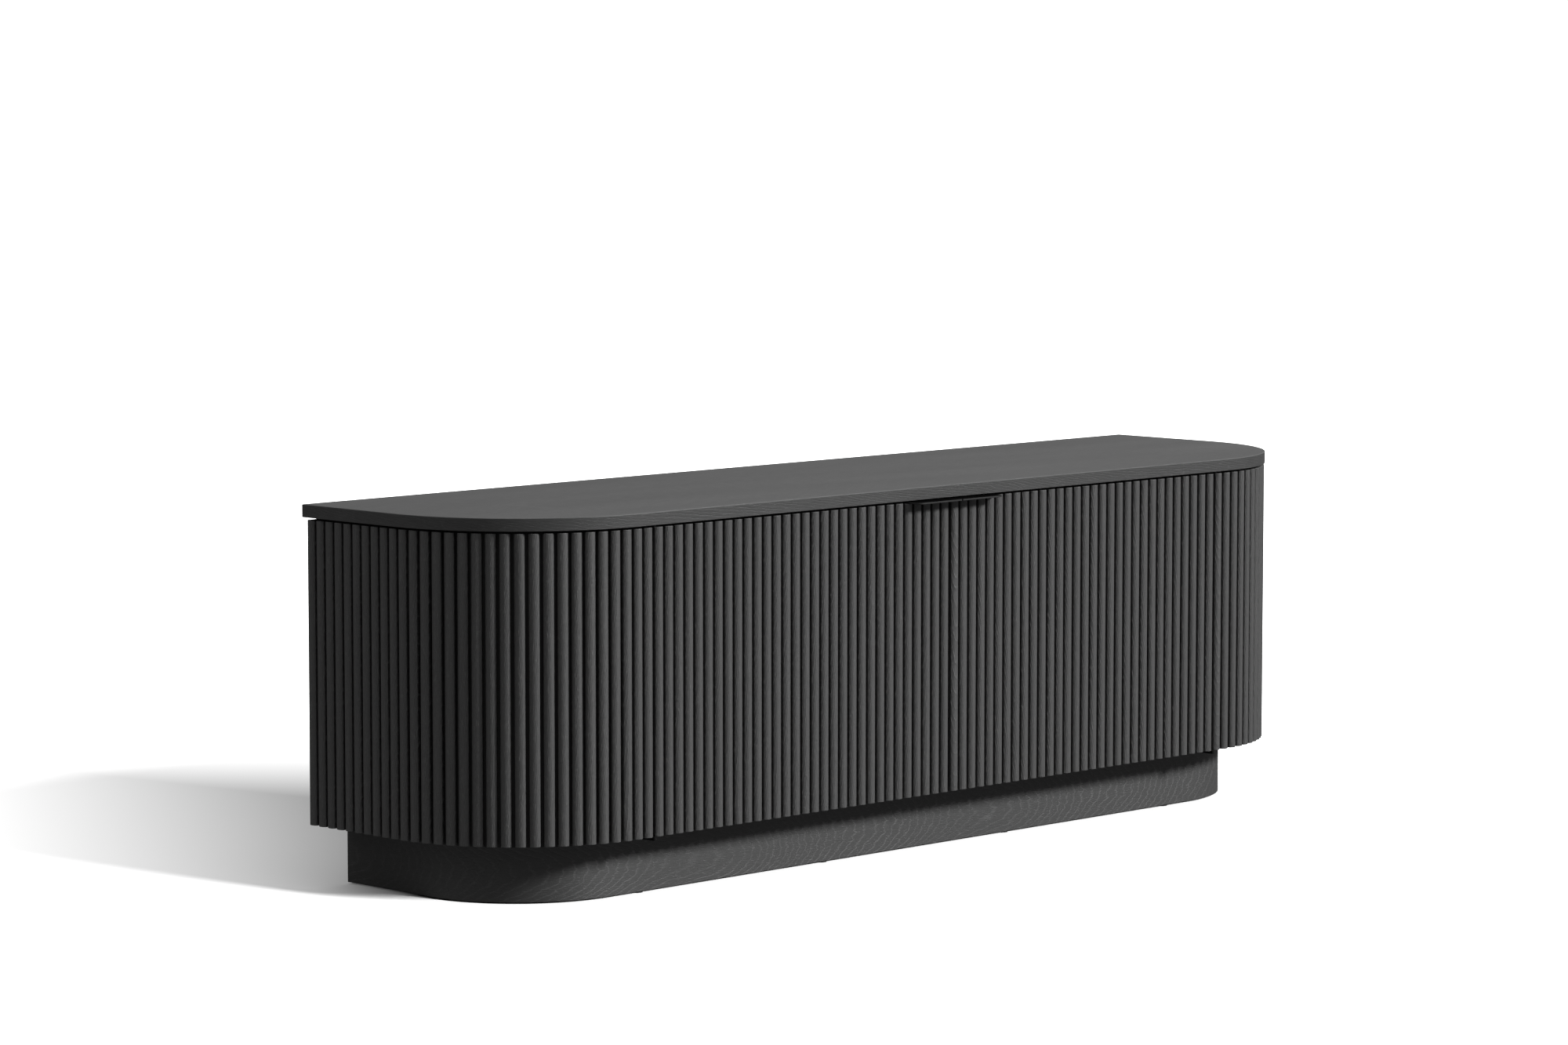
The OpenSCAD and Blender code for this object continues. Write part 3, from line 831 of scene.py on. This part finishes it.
def build_floor():
    """A plain white floor. The shadow on it fades out under a painted glow, and far off all is
    white.
    """
    mesh = bpy.data.meshes.new("floor")
    half = FLOOR_HALF
    mesh.from_pydata([(-half, -half, 0), (half, -half, 0), (half, half, 0), (-half, half, 0)],
                     [], [(0, 1, 2, 3)])
    floor = bpy.data.objects.new("floor", mesh)
    bpy.context.scene.collection.objects.link(floor)
    dress(floor, floor_paper())
    return floor


def build_world():
    """A studio hood: bright overhead and dim at the horizon, but plain white where it is seen."""
    world = bpy.data.worlds.new("studio")
    bpy.context.scene.world = world
    world.use_nodes = True
    tree = world.node_tree
    background = tree.nodes["Background"]
    seen = tree.nodes.new("ShaderNodeLightPath").outputs["Is Camera Ray"]
    direction = tree.nodes.new("ShaderNodeTexCoord").outputs["Generated"]
    split = tree.nodes.new("ShaderNodeSeparateXYZ")
    tree.links.new(direction, split.inputs[0])
    height_squared = tree.nodes.new("ShaderNodeMath")
    height_squared.operation = "MULTIPLY"
    tree.links.new(split.outputs["Z"], height_squared.inputs[0])
    tree.links.new(split.outputs["Z"], height_squared.inputs[1])
    hood = tree.nodes.new("ShaderNodeMapRange")
    tree.links.new(height_squared.outputs[0], hood.inputs["Value"])
    hood.inputs["To Min"].default_value = SKY_LOW
    hood.inputs["To Max"].default_value = SKY_LOW + SKY_GAIN
    strength = tree.nodes.new("ShaderNodeMapRange")
    tree.links.new(seen, strength.inputs["Value"])
    tree.links.new(hood.outputs[0], strength.inputs["To Min"])
    strength.inputs["To Max"].default_value = SKY_SEEN
    background.inputs["Color"].default_value = (1, 1, 1, 1)
    tree.links.new(strength.outputs[0], background.inputs["Strength"])


def add_sun(name, toward, strength, floor, floor_state):
    """A sun that lights the floor only, or everything but the floor.

    toward points at the sun, and floor_state is INCLUDE or EXCLUDE.
    """
    light = bpy.data.lights.new(name, "SUN")
    light.energy = strength
    light.angle = math.radians(KEY_ANGLE)
    lamp = bpy.data.objects.new(name, light)
    bpy.context.scene.collection.objects.link(lamp)
    lamp.rotation_mode = "QUATERNION"
    lamp.rotation_quaternion = (-toward).to_track_quat("-Z", "Y")
    group = bpy.data.collections.new(name + "_receivers")
    group.objects.link(floor)
    group.collection_objects[0].light_linking.link_state = floor_state
    lamp.light_linking.receiver_collection = group


def build_lights(floor):
    """A soft key from the right front, and one more frontal that throws the shadow on the floor."""
    add_sun("key", KEY_FROM, KEY_STRENGTH, floor, "EXCLUDE")
    add_sun("floor_key", FLOOR_KEY_FROM, FLOOR_KEY_STRENGTH, floor, "INCLUDE")


def build_camera():
    """Looks from the left front, a little above the top."""
    data = bpy.data.cameras.new("camera")
    data.sensor_width = CAMERA_SENSOR
    data.lens = CAMERA_LENS
    data.clip_end = CAMERA_REACH
    camera = bpy.data.objects.new("camera", data)
    bpy.context.scene.collection.objects.link(camera)
    camera.location = CAMERA_PLACE
    camera.rotation_euler = (math.radians(90 - CAMERA_PITCH), 0, math.radians(-CAMERA_YAW))
    bpy.context.scene.camera = camera


build_camera()
top = build_top()
slats = build_all_slats()
plinth = build_plinth()
pulls = [build_pull(-1), build_pull(1)]
dress_all(top, slats, plinth, pulls)
floor = build_floor()
build_world()
build_lights(floor)
bpy.context.scene.view_settings.view_transform = "Standard"
